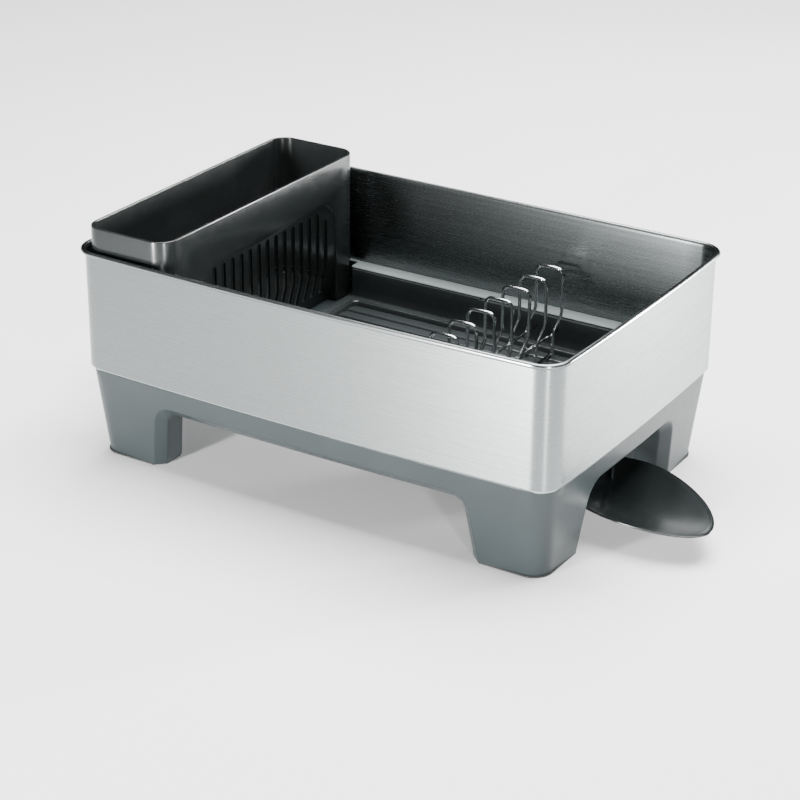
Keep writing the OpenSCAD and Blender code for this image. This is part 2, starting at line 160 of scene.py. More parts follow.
bump(CHROME, texture(CHROME, (1, 1, 1), 500.0), 0.03, 0.0002)

SLOTS = {"sleeve_steel": STEEL, "base_plastic": BASE, "tray_plastic": TRAY, "caddy_plastic": CADDY,
         "spout_plastic": SPOUT, "foot_rubber": RUBBER, "ring_steel": RING, "wire_chrome": CHROME}
SLOT_OF = {s["node"]: s["material_slot"] for s in frame["record"]["subparts"]}
for name, obj in NODES.items():
    for i in range(len(obj.material_slots)):
        obj.material_slots[i].material = SLOTS[SLOT_OF[name]]


# ---------------------------------------------------------------- mesh helpers

def mesh_object(name, bm):
    me = bpy.data.meshes.new(name)
    bm.to_mesh(me)
    bm.free()
    o = bpy.data.objects.new(name, me)
    bpy.context.scene.collection.objects.link(o)
    return o


def adopt(obj, name, mat, nodes, body, angle=40.0):
    """Gives a mesh object its name and material, hides the CAD nodes it replaces and parents it to its body's
    empty.
    """
    obj.name = name
    obj.data.name = name
    obj.data.materials.clear()
    obj.data.materials.append(mat)
    obj.data.shade_smooth()
    obj.data.set_sharp_from_angle(angle=radians(angle))
    if nodes:
        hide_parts(*nodes)
    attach(obj, body)


def piece(name, bm, mat, body, nodes=(), angle=38.0):
    bmesh.ops.remove_doubles(bm, verts=bm.verts, dist=1e-6)
    bmesh.ops.recalc_face_normals(bm, faces=bm.faces)
    adopt(mesh_object(name, bm), name, mat, nodes, body, angle)


def loft(bm, rings, closed=True, around=False):
    """Quads between equal rows of points; closed joins each row's ends, around joins last row to first."""
    rows = [[bm.verts.new(p) for p in ring] for ring in rings]
    n = len(rows[0])
    for k in range(len(rows) if around else len(rows) - 1):
        a, b = rows[k], rows[(k + 1) % len(rows)]
        for i in range(n if closed else n - 1):
            j = (i + 1) % n
            bm.faces.new((a[i], a[j], b[j], b[i]))
    return rows


def plan(hx, hy, r, bow=(0, 0, 0, 0), side_n=28, corner_n=12):
    """Points and outward directions round a rounded rectangle; its front, right, back and left sides bow out."""
    a, b = hx - r, hy - r
    pts = []
    for k in range(4):
        half = a if k % 2 == 0 else b
        reach = hy if k % 2 == 0 else hx
        turn = Matrix.Rotation(k * pi / 2, 2)
        for i in range(side_n + 1):
            t = -1 + 2 * i / side_n
            pts.append(turn @ Vector((half * t, -reach - bow[k] * (1 - t * t))))
        for i in range(1, corner_n):
            q = pi / 2 * i / corner_n
            pts.append(turn @ Vector((half + r * sin(q), -(reach - r) - r * cos(q))))
    n = len(pts)
    out = []
    for i, p in enumerate(pts):
        d = (pts[(i + 1) % n] - pts[i - 1]).normalized()
        out.append((p, Vector((d.y, -d.x))))
    return out


def rings_at(path, section):
    """Level rings along a plan path, one for each (distance outwards, height) of the section."""
    return [[mm(p.x + n.x * d, p.y + n.y * d, z) for p, n in path] for d, z in section]


def circle_at(x, r, z, n=48):
    return [mm(x + r * cos(2 * pi * i / n), r * sin(2 * pi * i / n), z) for i in range(n)]


def sweep(bm, points, r, n=14):
    """Round wire of radius r through the points, with domed ends."""
    pts = [Vector(p) for p in points]
    m = len(pts)
    tangents = [(pts[min(i + 1, m - 1)] - pts[max(i - 1, 0)]).normalized() for i in range(m)]
    side = tangents[0].orthogonal().normalized()
    rings = []
    for i, (p, t) in enumerate(zip(pts, tangents)):
        side = (side - t * side.dot(t)).normalized()
        up = t.cross(side)
        rings.append([p + (side * cos(2 * pi * k / n) + up * sin(2 * pi * k / n)) * r for k in range(n)])
    for end, sign in ((0, -1), (m - 1, 1)):
        c, t = pts[end], tangents[end] * sign
        dome = [[c + (v - c) * cos(q) + t * r * sin(q) for v in rings[-1 if sign > 0 else 0]]
                for q in (pi / 6, pi / 3, pi / 2.1)]
        rings = rings + dome if sign > 0 else dome[::-1] + rings
    rows = loft(bm, rings)
    bm.faces.new(rows[0])
    bm.faces.new(rows[-1][::-1])


def bend(points, r, n=8):
    """The path with each inner corner rounded to radius r."""
    pts = [Vector(p) for p in points]
    out = [pts[0]]
    for a, b, c in zip(pts, pts[1:], pts[2:]):
        u, v = (a - b).normalized(), (c - b).normalized()
        half = u.angle(v) / 2
        d = r / (sin(half) / cos(half))
        start, end = b + u * d, b + v * d
        centre = b + (u + v).normalized() * (r / sin(half))
        p, q = start - centre, end - centre
        whole = p.angle(q)
        for k in range(n + 1):
            f = k / n
            out.append(centre + (p * sin((1 - f) * whole) + q * sin(f * whole)) / sin(whole))
    out.append(pts[-1])
    return out


def solid(name, lo, hi, bands=None):
    """Closed solid between two equal loops, for cutting; bands splits the end at hi into flat faces."""
    bm = bmesh.new()
    rows = loft(bm, [lo, hi])
    bm.faces.new(rows[0][::-1])
    for band in bands or [range(len(hi))]:
        bm.faces.new([rows[1][i] for i in band])
    bmesh.ops.recalc_face_normals(bm, faces=bm.faces)
    return mesh_object(name, bm)


def prism(name, points, z0, z1):
    """Closed upright solid on a plan outline in millimetres."""
    return solid(name, [mm(x, y, z0) for x, y in points], [mm(x, y, z1) for x, y in points])


def rounded(hx, hy, r, n=10, cx=0.0):
    """Outline of a rounded rectangle with its middle at (cx, 0)."""
    out = []
    for k, (sx, sy) in enumerate(((1, -1), (1, 1), (-1, 1), (-1, -1))):
        for i in range(n + 1):
            q = -pi / 2 + k * pi / 2 + pi / 2 * i / n
            out.append((cx + sx * (hx - r) + r * cos(q), sy * (hy - r) + r * sin(q)))
    return out


def carve(obj, cutters):
    """Cuts the solids out of the object, and removes them."""
    for c in cutters:
        b = obj.modifiers.new("cut", "BOOLEAN")
        b.operation = "DIFFERENCE"
        b.solver = "EXACT"
        b.object = c
    settle(obj)
    for c in cutters:
        bpy.data.objects.remove(c, do_unlink=True)


def settle(obj):
    """Applies the object's modifiers."""
    deps = bpy.context.evaluated_depsgraph_get()
    me = bpy.data.meshes.new_from_object(obj.evaluated_get(deps))
    obj.modifiers.clear()
    obj.data = me


def soften(obj, width, segments=3, angle=35.0):
    b = obj.modifiers.new("edge", "BEVEL")
    b.width = width / 1000.0
    b.segments = segments
    b.limit_method = "ANGLE"
    b.angle_limit = radians(angle)
    b.use_clamp_overlap = True
    b.harden_normals = False
    settle(obj)


# ---------------------------------------------------------------- steel sleeve

BOW = (4.0, 2.4, 0.4, 2.4)
WALL = (228.45, 149.25, 20.0)
RIM_Z, BEAD_OUT, BEAD_R, STEEL_Z, SHEET = 187.3, 1.55, 2.2, 82.3, 0.8
UPRIGHT, UPRIGHT_ROWS, BEAD_STEPS = 102.0, 8, 24


def build_sleeve():
    path = plan(*WALL, bow=BOW)
    heights = [STEEL_Z + 1.0 + UPRIGHT * k / UPRIGHT_ROWS for k in range(UPRIGHT_ROWS + 1)]
    profile = [(-SHEET, STEEL_Z + 0.2), (-SHEET + 0.2, STEEL_Z), (-0.25, STEEL_Z), (0.0, STEEL_Z + 0.25)]
    profile += [(0.0, z) for z in heights]
    # the rolled rim turns through three quarters of a circle
    for i in range(BEAD_STEPS + 1):
        q = radians(225.0 + 270.0 * i / BEAD_STEPS)
        profile.append((BEAD_OUT + BEAD_R * cos(q), RIM_Z + BEAD_R * sin(q)))
    profile += [(-SHEET + 0.05, RIM_Z - 0.5)]
    profile += [(-SHEET, z) for z in heights[::-1]]
    bm = bmesh.new()
    rings = [[mm(p.x + n.x * d, p.y + n.y * d, z) for d, z in profile] for p, n in path]
    loft(bm, rings, closed=True, around=True)
    piece("sleeve_wall", bm, STEEL, "base", ("steel_sleeve",))


# ---------------------------------------------------------------- base: skirt, arches and legs

FOOT, TOP = (217.9, 138.7, 16.3), (226.85, 147.65, 21.0)
FOOT_Z, STEP_Z, SEAM_Z, FLOOR_UNDER = 1.5, 82.3, 79.8, 64.0
ARCH_H, ARCH_R, ARCH_LEAN = 61.7, 20.0, 0.147
ARCH_HALF = (161.6, 83.5, 161.6, 83.5)
BEVEL_W, BEVEL_D, LEG_DEEP, LIP_DEEP = 8.5, 8.0, 28.7, 11.5
STRAIGHT, CORNER = 200.0, 20.0
PIVOT_X, BORE_R = 192.0, 10.1
# the underside narrows by these shares in x and y up to the floor
UNDER_TAPER = (0.985, 0.975)
# the skirt's rows, as shares of the way from the arch to the side's border
SKIRT_ROWS = (0, 0.04, 0.12, 0.25, 0.4, 0.55, 0.66, 0.72, 0.78, 0.83, 0.88, 0.92, 0.96, 1.0)
# section of the skirt's top edge: (inwards, upwards)
CROWN = ((0.0, 0.0), (0.1, 0.45), (0.4, 0.75), (0.8, 0.8), (6.0, 0.8))
CROWN_STEPS = 60


def skirt(k, m, z, deep=0.0):
    """Point on the skirt's face on side k (front, right, back, left), moved in by deep.
    m runs along the side: past +-STRAIGHT it turns through half a corner."""
    hx, hy, r = (a + (b - a) * z / STEP_Z for a, b in zip(FOOT, TOP))
    if k % 2:
        hx, hy = hy, hx
    half = hx - r
    s = 1 if m > 0 else -1
    q = max(0.0, abs(m) - STRAIGHT) / CORNER * pi / 4
    t = min(1.0, abs(m) / STRAIGHT)
    x = s * (half * t + (r - deep) * sin(q))
    y = -(hy - r) - (r - deep) * cos(q) - BOW[k] * (1 - t * t)
    p = Matrix.Rotation(k * pi / 2, 2) @ Vector((x, y))
    return mm(p.x, p.y, z)


def along(k, x, z):
    """The m of a point x millimetres from the middle of side k."""
    hx, hy, r = (a + (b - a) * z / STEP_Z for a, b in zip(FOOT, TOP))
    return x * STRAIGHT / ((hy if k % 2 else hx) - r)


def arch(k, n_leg=14, n_turn=12, n_top=24):
    """Outline of an arch as (x, z, inward x, inward z, part): part goes 0 to 1 up a leg, then stays 1."""
    lean = sqrt(1 + ARCH_LEAN ** 2)
    rise = ARCH_H - ARCH_R
    cx = -ARCH_HALF[k] + ARCH_LEAN * rise + ARCH_R * lean
    first = pi - atan(ARCH_LEAN)
    foot_z = rise + ARCH_R * sin(first)
    foot_x = cx + ARCH_R * cos(first)
    left = []
    for i in range(n_leg):
        z = FOOT_Z + (foot_z - FOOT_Z) * i / n_leg
        left.append((foot_x - ARCH_LEAN * (foot_z - z), z, 1 / lean, -ARCH_LEAN / lean, 0.0))
    for i in range(n_turn + 1):
        f = i / n_turn
        q = first + (pi / 2 - first) * f
        left.append((cx + ARCH_R * cos(q), rise + ARCH_R * sin(q), -cos(q), -sin(q), f))
    top = [(cx + (-2 * cx) * i / n_top, ARCH_H, 0.0, -1.0, 1.0) for i in range(1, n_top)]
    right = [(-x, z, -nx, nz, f) for x, z, nx, nz, f in left[::-1]]
    return left + top + right, len(left)


def bevel_profile():
    """Section of the bevel: (towards the opening, inwards), rounded at both arrises."""
    pts = bend([(-6, 0, 0), (0, 0, 0), (BEVEL_W, BEVEL_D, 0), (BEVEL_W, BEVEL_D + 6, 0)], 2.6, n=4)
    return [(p[0], p[1]) for p in pts[1:-1]]


def build_base():
    bm = bmesh.new()
    profile = bevel_profile()
    inner = []
    for k in range(4):
        opening, n_left = arch(k)
        # the skirt between the arch and the side's border, which is level at the top and upright at the ends
        w0 = profile[0][0]
        edge = [(along(k, x + nx * w0, z + nz * w0 * (1 if z > FOOT_Z else 0)), max(FOOT_Z, z + nz * w0))
                for x, z, nx, nz, f in opening]
        end = STRAIGHT + CORNER
        n = len(opening)
        border = []
        for i in range(n):
            if i < n_left - 6:
                f = i / (n_left - 7)
                border.append((-end, FOOT_Z + (SEAM_Z - FOOT_Z) * f))
            elif i > n - 1 - (n_left - 6):
                f = (n - 1 - i) / (n_left - 7)
                border.append((end, FOOT_Z + (SEAM_Z - FOOT_Z) * f))
            else:
                f = (i - (n_left - 7)) / (n - 1 - 2 * (n_left - 7))
                border.append((-end + 2 * end * f, SEAM_Z))
        rings = [[skirt(k, a[0] + (b[0] - a[0]) * f, a[1] + (b[1] - a[1]) * f) for a, b in zip(edge, border)]
                 for f in SKIRT_ROWS]
        loft(bm, rings[::-1], closed=False)
        # bevel and the inner side of the legs
        rings = []
        for w, d in profile:
            rings.append([skirt(k, along(k, x + nx * w, z + nz * w if z > FOOT_Z else z),
                                z + nz * w if z > FOOT_Z else z, d) for x, z, nx, nz, f in opening])
        w = profile[-1][0]
        for g in (0.33, 0.66, 1.0):
            ring = []
            for x, z, nx, nz, f in opening:
                smooth = f * f * (3 - 2 * f)
                full = LEG_DEEP + (LIP_DEEP - LEG_DEEP) * smooth
                d = profile[-1][1] + (full - profile[-1][1]) * g
                zz = z + nz * w if z > FOOT_Z else z
                ring.append(skirt(k, along(k, x + nx * w, zz), zz, d))
            rings.append(ring)
        loft(bm, rings, closed=False)
        inner.append((rings[-1], n_left))
    # the cut corner of each leg, and the loop that closes the underside
    rim = []
    for k in range(4):
        ring, n_left = inner[k]
        after = inner[(k + 1) % 4][0]
        a = ring[::-1][:n_left]
        b = after[:n_left]
        loft(bm, [[p.lerp(q, f / 4) for p, q in zip(a, b)] for f in range(5)], closed=False)
        rim += ring[n_left - 1:len(ring) - n_left + 1]
        rim += [a[-1].lerp(b[-1], f / 4) for f in range(1, 4)]
    middle = mm(0, 0, FLOOR_UNDER)
    high = [Vector((middle.x + (p.x - middle.x) * UNDER_TAPER[0], p.y * UNDER_TAPER[1], middle.z)) for p in rim]
    rows = loft(bm, [rim, high])
    holed_face(bm, rows[1], [bm.verts.new(p) for p in circle_at(PIVOT_X, BORE_R, FLOOR_UNDER)])
    # top edge of the skirt, and a ring in to the steel
    crown = []
    end = STRAIGHT + CORNER
    for deep, rise in CROWN:
        row = []
        for k in range(4):
            for i in range(CROWN_STEPS):
                p = skirt(k, -end + 2 * end * i / CROWN_STEPS, SEAM_Z, deep)
                p.z += rise / 1000
                row.append(p)
        crown.append(row)
    loft(bm, crown)
    bmesh.ops.remove_doubles(bm, verts=bm.verts, dist=2e-5)
    soles = [e for e in bm.edges if e.is_boundary and max(v.co.z for v in e.verts) < 0.0017]
    bmesh.ops.holes_fill(bm, edges=soles, sides=0)
    piece("base_moulding", bm, BASE, "base", ("base_frame",), angle=32)


def holed_face(bm, outer, *holes):
    """Flat face inside a loop of vertices, less the holes' loops."""
    edges = []
    for ring in (outer, *holes):
        for i, v in enumerate(ring):
            w = ring[(i + 1) % len(ring)]
            e = bm.edges.get((v, w)) or bm.edges.new((v, w))
            edges.append(e)
    bmesh.ops.triangle_fill(bm, use_beauty=True, edges=edges)


# ---------------------------------------------------------------- base ledge and caddy bay

LEDGE_Z, EDGE_R, BAY_FLOOR = 100.2, 1.2, 72.0
BAY_X, BAY, BAY_R, BAY_END = -136.2, (224.5, 145.2), 17.0, -135.7
TRAY_OUT, TRAY_GAP, HOLE_R = (211.4, 131.9), 0.3, 16.7
# section of the upstand inside the steel: (outwards from the steel, height)
UPSTAND = ((-3.0, STEP_Z - 3), (-1.0, STEP_Z + 0.5), (-1.0, LEDGE_Z - 1.2),
           (-1.3, LEDGE_Z - 0.4), (-2.0, LEDGE_Z))


def outline(points, radii, closed=True):
    """Plan path through the points with rounded corners, as positions and outward directions."""
    n = len(points)
    out = []
    for i in range(n):
        if not closed and i in (0, n - 1):
            out.append(Vector((*points[i], 0)))
            continue
        a, b, c = (Vector((*points[(i + d) % n], 0)) for d in (-1, 0, 1))
        out += bend([a, b, c], radii[i], n=8)[1:-1]
    path = []
    m = len(out)
    for i, p in enumerate(out):
        last, nxt = (out[i - 1], out[(i + 1) % m]) if closed else (out[max(0, i - 1)], out[min(m - 1, i + 1)])
        d = (nxt - last).normalized()
        path.append((Vector((p.x, p.y)), Vector((d.y, -d.x))))
    return path


def build_ledge():
    bm = bmesh.new()
    rows = loft(bm, rings_at(plan(*WALL, bow=BOW), UPSTAND))
    x, y = TRAY_OUT[0] + TRAY_GAP, TRAY_OUT[1] + TRAY_GAP
    bx, by = BAY
    hollow = outline([(x, -y), (x, y), (BAY_X, y), (BAY_X, by),
                      (-bx, by), (-bx, -by), (BAY_X, -by), (BAY_X, -y)],
                     [HOLE_R, HOLE_R, 2, 2, BAY_R, BAY_R, 2, 2])
    turns = [pi / 8 * i for i in range(5)]
    section = [(EDGE_R - EDGE_R * sin(q), LEDGE_Z - EDGE_R + EDGE_R * cos(q)) for q in turns]
    edge = loft(bm, rings_at(hollow, section))
    holed_face(bm, rows[-1], edge[0])
    # the ledge's top carries the base plastic with painted light
    piece("base_ledge", bm, PAINTED_LIGHT_LEDGE, "base", angle=40)
    # the sides of the hole under that edge, and the floor that the caddy stands on
    bm = bmesh.new()
    loft(bm, rings_at(hollow, [(0.0, z) for z in (LEDGE_Z - EDGE_R, 90.0, 80.0, BAY_FLOOR)]))
    bay = [(BAY_END, -by), (BAY_END, by)]
    for start, cy in ((pi / 2, by - BAY_R), (pi, BAY_R - by)):
        for i in range(9):
            q = start + pi / 16 * i
            bay.append((BAY_R - bx + BAY_R * cos(q), cy + BAY_R * sin(q)))
    bm.faces.new([bm.verts.new(mm(px, py, BAY_FLOOR)) for px, py in bay])
    piece("caddy_bay", bm, BASE, "base", angle=40)


# ---------------------------------------------------------------- drip tray

RIM_TOP, BORDER_Z, GROOVE_Z, RIB_TOP = 98.6, 72.2, 67.0, 69.0
CAVITY, NOTCH_X, NOTCH, TRAY_LEFT = (209.0, 128.0), 3.0, 1.8, -133.0
TRAY_T, RIM_FLARE, TRAY_END = 2.4, 1.5, 195.0
PANEL_X, PANEL_HALF, PANEL_CORNER = 40.3, (167.3, 123.5), 8.0
# section of the step and the fine bead round the ribbed panel: (inwards, height)
PANEL_EDGE = ((0.0, BORDER_Z), (0.35, BORDER_Z - 0.15), (0.5, BORDER_Z - 0.5), (0.5, BORDER_Z - 1.3),
              (0.6, BORDER_Z - 1.3), (1.0, BORDER_Z - 0.6), (1.6, BORDER_Z - 0.3), (2.2, BORDER_Z - 0.6),
              (2.6, BORDER_Z - 1.3), (2.8, GROOVE_Z))
# ribs: distance apart, sideways shift, start, end, the end of those at the drain, and the drain's half width
RIB_PITCH, RIB_SHIFT, RIB_START, RIB_END, RIB_SHORT, DRAIN_ROOM = 15.0, 4.5, -123.5, 203.5, 168.0, 26.0
RIB_SINK = GROOVE_Z - 0.3
RIB_SECTION = ((4.2, RIB_SINK), (4.0, RIB_TOP - 0.7), (3.5, RIB_TOP - 0.15), (2.8, RIB_TOP),
               (-2.8, RIB_TOP), (-3.5, RIB_TOP - 0.15), (-4.0, RIB_TOP - 0.7), (-4.2, RIB_SINK))


def build_tray():
    bm = bmesh.new()
    x, y = CAVITY
    wide = y + NOTCH
    path = outline([(TRAY_LEFT, -wide), (NOTCH_X, -wide), (NOTCH_X, -y), (x, -y),
                    (x, y), (NOTCH_X, y), (NOTCH_X, wide), (TRAY_LEFT, wide)],
                   [0, 0.8, 0.8, 14, 14, 0.8, 0.8, 0], closed=False)
    rings = []
    for p, n in path:
        # the rim is wider on the long sides, and tapers round the corners to the end wall's thickness
        t = TRAY_OUT[1] - abs(p.y)
        if p.x >= TRAY_END:
            t = min(t, TRAY_T + RIM_FLARE * abs(n.y)) if abs(n.y) > 0.5 else TRAY_T
        section = [(-0.8, BORDER_Z), (-0.25, BORDER_Z + 0.2), (0.0, BORDER_Z + 0.8), (0.0, 80.0), (0.0, 90.0),
                   (0.0, RIM_TOP - 0.8), (0.25, RIM_TOP - 0.25), (0.8, RIM_TOP), (t - 0.6, RIM_TOP),
                   (t - 0.15, RIM_TOP - 0.2), (t, RIM_TOP - 0.7), (t, FLOOR_UNDER)]
        rings.append([mm(p.x + n.x * d, p.y + n.y * d, z) for d, z in section])
    rows = loft(bm, rings, closed=False)
    inner = [r[0] for r in rows]
    foot = [r[-1] for r in rows]
    # flat border, a small step, a fine bead, then the ribbed panel
    hx, hy = PANEL_HALF
    panel = loft(bm, [[mm(px, py, z) for px, py in rounded(hx - d, hy - d, PANEL_CORNER - d, cx=PANEL_X)]
                      for d, z in PANEL_EDGE])
    left = [bm.verts.new(mm(TRAY_LEFT - TRAY_T, s * wide, BORDER_Z)) for s in (1, -1)]
    holed_face(bm, inner + left, panel[0])
    hole, under = loft(bm, [circle_at(PIVOT_X, BORE_R, z) for z in (GROOVE_Z, FLOOR_UNDER)])
    holed_face(bm, panel[-1], hole)
    holed_face(bm, foot, under)
    for i in range(-8, 8):
        y = i * RIB_PITCH + RIB_SHIFT
        end = RIB_END if abs(y) > DRAIN_ROOM else RIB_SHORT
        slices = [(RIB_START, 0.2), (RIB_START + 0.2, 0.7), (RIB_START + 0.9, 1.0),
                  (end - 0.9, 1.0), (end - 0.2, 0.7), (end, 0.2)]
        ring = [[mm(x, y + w, RIB_SINK + (z - RIB_SINK) * f) for w, z in RIB_SECTION] for x, f in slices]
        bars = loft(bm, ring, closed=False)
        bm.faces.new(bars[0][::-1])
        bm.faces.new(bars[-1])
    piece("drip_tray_moulding", bm, TRAY, "base", ("drip_tray",), angle=40)


# ---------------------------------------------------------------- cutlery caddy

CADDY_X, CADDY_HX, CADDY_HY, CADDY_R, CADDY_T = -180.05, 42.95, 144.4, 16.5, 2.2
CADDY_Z0, CADDY_Z1 = 72.2, 208.6
PANEL_Y0, PANEL_Y1, PANEL_TOP, PANEL_R, PANEL_IN = -98.1, 108.6, 172.5, 25.0, 1.6
LEAN_Z0, LEAN_Z1, LEAN = 80.0, 112.0, 8.0
SLOTS_N, SLOT_Y0, SLOT_PITCH, SLOT_HALF, SLOT_FOOT = 15, -88.8, 13.06, 2.9, 84.0
SLOT_TOP, SLOT_TOP_END = 166.9, 157.0


def panel_solid(name, grow):
    """Solid that fills the recess in the caddy's wall and stands 2 mm out of it, grown by grow."""
    face = CADDY_X + CADDY_HX
    y0, y1, top, r = PANEL_Y0 - grow, PANEL_Y1 + grow, PANEL_TOP + grow, PANEL_R + grow
    points = [(y0, 60.0), (y1, 60.0), (y1, LEAN_Z0), (y1, LEAN_Z1)]
    for y, start in ((y1 - r, 0.0), (y0 + r, pi / 2)):
        for i in range(13):
            q = start + pi / 2 * i / 12
            points.append((y + r * cos(q), top - r + r * sin(q)))
    points += [(y0, LEAN_Z1), (y0, LEAN_Z0)]
    out = [mm(face + 2, y, z) for y, z in points]
    back = []
    for y, z in points:
        lean = min(1.0, max(0.0, (LEAN_Z1 - z) / (LEAN_Z1 - LEAN_Z0)))
        back.append(mm(face - PANEL_IN - grow - LEAN * lean, y, z))
    # the back is three flat bands: foot, leaning part and upright part
    n = len(points)
    return solid(name, out, back, [(0, 1, 2, n - 1), (n - 1, 2, 3, n - 2), range(3, n - 1)])


def slot_solid(y, top):
    """Upright slot with a round top, cut from 4 mm outside the wall's face to 16 mm inside it."""
    face, w = CADDY_X + CADDY_HX, SLOT_HALF
    points = [(y - w, SLOT_FOOT), (y + w, SLOT_FOOT)]
    points += [(y + w * cos(pi * i / 8), top - w + w * sin(pi * i / 8)) for i in range(9)]
    return solid("slot", [mm(face - 16, p, z) for p, z in points], [mm(face + 4, p, z) for p, z in points])


def build_caddy():
    box = prism("caddy", rounded(CADDY_HX, CADDY_HY, CADDY_R, n=14, cx=CADDY_X), CADDY_Z0, CADDY_Z1)
    hollow = prism("hollow", rounded(CADDY_HX - CADDY_T, CADDY_HY - CADDY_T, CADDY_R - CADDY_T, n=14, cx=CADDY_X),
                   CADDY_Z0 + CADDY_T, CADDY_Z1 + 5)
    carve(hollow, [panel_solid("thick", CADDY_T)])
    carve(box, [hollow, panel_solid("pocket", 0.0)])
    soften(box, 0.9)
    # the slots at both ends stop lower, under the panel's round corners
    carve(box, [slot_solid(SLOT_Y0 + SLOT_PITCH * i, SLOT_TOP_END if i in (0, SLOTS_N - 1) else SLOT_TOP)
                for i in range(SLOTS_N)])
    soften(box, 0.4, segments=1)
    adopt(box, "caddy_moulding", CADDY, ("cutlery_caddy",), "caddy")


# ---------------------------------------------------------------- drain spout

SPOUT_TURN, LEAF_REACH, LEAF_OUT, LEAF_IN, LEAF_B = -19.0, 37.0, 91.0, 61.0, 49.8
LEAF_N, LEAF_Z, LEAF_TILT, LEAF_DEEP, LEAF_T = 1.74, 31.6, 0.05, 9.0, 2.2
COLLAR_Z, COLLAR_TOP, COLLAR_R, POST_X, POST_AT = 42.0, 60.0, 15.5, 14.0, (60, 180, 300)
# sections as (share of the leaf's outline, height over the rim)
LEAF_RIM = [(0.965, -2.3), (0.985, -1.7), (0.997, -0.9), (1.0, -0.45), (0.998, -0.15),
            (0.993, 0.0), (0.985, 0.05), (0.968, 0.0), (0.962, -0.15), (0.957, -0.4)]
LEAF_UNDER = (0.03, 0.15, 0.3, 0.45, 0.6, 0.72, 0.82, 0.9)
LEAF_UPPER = (0.93, 0.88, 0.8, 0.7, 0.58, 0.45, 0.3, 0.15, 0.03)


def dish(s):
    return -LEAF_DEEP * (1 - (s / 0.96) ** 2)


def leaf_at(s, z, n=96):
    """Ring of the leaf, scaled by s: round inner end and pointed outer end."""
    turn = Matrix.Rotation(radians(SPOUT_TURN), 2)
    out = []
    for i in range(n):
        q = 2 * pi * i / n
        c, d = cos(q), sin(q)
        if c > 0:
            x = LEAF_REACH + s * LEAF_OUT * c ** (2 / LEAF_N)
            y = s * LEAF_B * (1 if d > 0 else -1) * abs(d) ** (2 / LEAF_N)
        else:
            x, y = LEAF_REACH + s * LEAF_IN * c, s * LEAF_B * d
        p = turn @ Vector((x, y))
        out.append(mm(PIVOT_X + p.x, p.y, LEAF_Z + z - LEAF_TILT * x))
    return out


def build_spout():
    bm = bmesh.new()
    under = [(s, dish(s) - LEAF_T) for s in LEAF_UNDER]
    upper = [(s, dish(s)) for s in LEAF_UPPER]
    rows = loft(bm, [leaf_at(s, z) for s, z in under + LEAF_RIM + upper])
    bm.faces.new(rows[0])
    bm.faces.new(rows[-1][::-1])
    # collar that turns on the outlet tube, and its three posts
    ends = ((COLLAR_Z, 0.4), (COLLAR_TOP, -0.4))
    section = []
    for z, round_off in ends:
        level = [(BORE_R, z + round_off), (BORE_R + 0.4, z), (COLLAR_R - 0.4, z), (COLLAR_R, z + round_off)]
        section += level if round_off > 0 else level[::-1]
    loft(bm, [circle_at(PIVOT_X, r, z, 64) for r, z in section], around=True)
    for a in POST_AT:
        turn = Matrix.Rotation(radians(a + SPOUT_TURN), 2)
        x, y = POST_X * cos(radians(a)), POST_X * sin(radians(a))
        s = sqrt(((x - LEAF_REACH) / LEAF_IN) ** 2 + (y / LEAF_B) ** 2)
        foot = LEAF_Z + dish(s) - LEAF_TILT * x - LEAF_T / 2
        plan_points = [turn @ Vector(p) for p in rounded(1.2, 3.0, 0.8, n=4, cx=POST_X)]
        rows = loft(bm, [[mm(PIVOT_X + p.x, p.y, z) for p in plan_points]
                         for z in (foot, (foot + COLLAR_Z) / 2, COLLAR_Z + 0.5)])
        bm.faces.new(rows[0][::-1])
        bm.faces.new(rows[-1])
    piece("spout_leaf", bm, SPOUT, "spout", ("drain_spout",))


# ---------------------------------------------------------------- wire plate rack

HOOPS, PITCH, HOOP_Y0, HOOP_TOP = 8, 30.0, 124.5, 147.3
LEFT_X, RIGHT_X, WIRE_R, WELD, BEND_R = 64.0, 90.0, 1.5, 0.2, 6.5
# the dog-leg steps back by DOG_Y between these heights
DOG_Y, ANKLE_Z, KNEE_Z = 15.0, 92.5, 105.5
RAIL_Z, RAIL_Y, RUNNER_Z, RUNNER_Y = 90.0, (-114, 124), 70.5, (-105, 114)


def build_hoop(i):
    y = HOOP_Y0 - i * PITCH
    left, right = ([(x, y - DOG_Y, RIB_TOP + 0.4), (x, y - DOG_Y, ANKLE_Z), (x, y, KNEE_Z), (x, y, HOOP_TOP)]
                   for x in (LEFT_X, RIGHT_X))
    pts = bend([mm(*p) * 1000 for p in left + right[::-1]], BEND_R)
    bm = bmesh.new()
    sweep(bm, [p / 1000 for p in pts], WIRE_R / 1000)
    piece(f"hoop_wire_{i + 1}", bm, CHROME, "plate_rack", (f"plate_hoop_{i + 1}",))


def build_side_wire(name, x, z, y0, y1):
    """Straight wire from y0 to y1, its domed ends included."""
    bm = bmesh.new()
    sweep(bm, [mm(x, y0 + 1, z), mm(x, (y0 + y1) / 2, z), mm(x, y1 - 1, z)], WIRE_R / 1000)
    piece(name + "_wire", bm, CHROME, "plate_rack", (name,))


def build_plate_rack():
    for i in range(HOOPS):
        build_hoop(i)
    for side, x in (("left", LEFT_X + 2 * WIRE_R - WELD), ("right", RIGHT_X - 2 * WIRE_R + WELD)):
        build_side_wire("rail_" + side, x, RAIL_Z, *RAIL_Y)
        build_side_wire("runner_" + side, x, RUNNER_Z, *RUNNER_Y)


# ---------------------------------------------------------------- studio

FLOOR_HALF = 8.0
# tall narrow softboxes that the steel mirrors: place, target, width, power
SOFTBOXES = {
    "front": ((-0.5, -2.0, 0.3), (0.1, -0.15, 0.13), 0.18, 130),
    "right": ((1.61, -1.52, 0.3), (0.17, -0.13, 0.13), 0.10, 52),
    "back": ((1.3, 1.62, 0.3), (0.19, 0.0, 0.13), 0.2, 130)}
SOFTBOX_H = 0.56
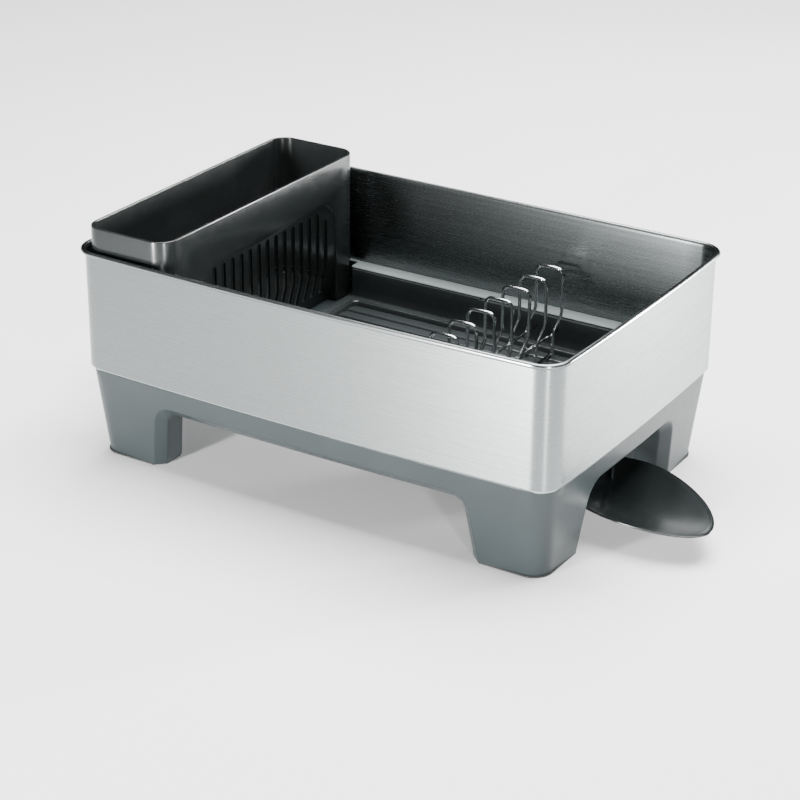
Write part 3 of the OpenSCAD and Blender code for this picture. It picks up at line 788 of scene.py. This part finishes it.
# strength of the studio's light at the horizon and overhead
HORIZON, ZENITH = 0.45, 2.0


def build_studio():
    bm = bmesh.new()
    loft(bm, [[Vector((-FLOOR_HALF, y, 0)), Vector((FLOOR_HALF, y, 0))] for y in (-FLOOR_HALF, 0, FLOOR_HALF)],
         closed=False)
    floor_mat = material("floor", (0.86, 0.86, 0.86), 0.6)
    vary_rough(floor_mat, texture(floor_mat, (1, 1, 1), 3.0), 0.55, 0.65)
    o = mesh_object("floor", bm)
    o.data.materials.append(floor_mat)
    w = bpy.data.worlds.new("studio")
    w.use_nodes = True
    t = add(w, "ShaderNodeTexCoord")
    s = add(w, "ShaderNodeSeparateXYZ")
    r = add(w, "ShaderNodeMapRange")
    r.inputs["To Min"].default_value = HORIZON
    r.inputs["To Max"].default_value = ZENITH
    wire(w, t, "Generated", s, "Vector")
    wire(w, s, "Z", r, "Value")
    wire(w, r, "Result", w.node_tree.nodes["Background"], "Strength")
    bpy.context.scene.world = w
    lamp("overhead", (0.0, 0.5, 2.2), (0.0, 0.0, 0.0), 2.0, 2.0, 240)
    for name, (place, target, width, power) in SOFTBOXES.items():
        lamp(name, place, target, width, SOFTBOX_H, power)


def lamp(name, pos, target, width, height, power):
    d = bpy.data.lights.new(name, "AREA")
    d.shape = "RECTANGLE"
    d.size = width
    d.size_y = height
    d.energy = power
    o = bpy.data.objects.new(name, d)
    o.location = pos
    o.rotation_euler = (Vector(target) - Vector(pos)).to_track_quat("-Z", "Y").to_euler()
    bpy.context.scene.collection.objects.link(o)


CAMERA_AT, CAMERA_LENS, CAMERA_SHIFT = (944.2, -1523.9, 877.5), 102.57, (0.0029, -0.0031)
# degrees: round from the front, down from level, and roll
CAMERA_TURN, CAMERA_DOWN, CAMERA_ROLL = 31.83, 24.77, 0.43


def build_camera():
    d = bpy.data.cameras.new("camera")
    d.sensor_width = 36.0
    d.lens = CAMERA_LENS
    d.shift_x, d.shift_y = CAMERA_SHIFT
    d.clip_end = 50.0
    o = bpy.data.objects.new("camera", d)
    bpy.context.scene.collection.objects.link(o)
    turn = Matrix.Rotation(radians(CAMERA_TURN), 4, "Z") @ Matrix.Rotation(radians(90 - CAMERA_DOWN), 4, "X")
    roll = Matrix.Rotation(radians(CAMERA_ROLL), 4, "Z")
    o.matrix_world = Matrix.Translation(mm(*CAMERA_AT)) @ turn @ roll
    bpy.context.scene.camera = o


build_sleeve()
build_base()
build_ledge()
build_tray()
build_caddy()
build_spout()
build_plate_rack()
build_studio()
build_camera()
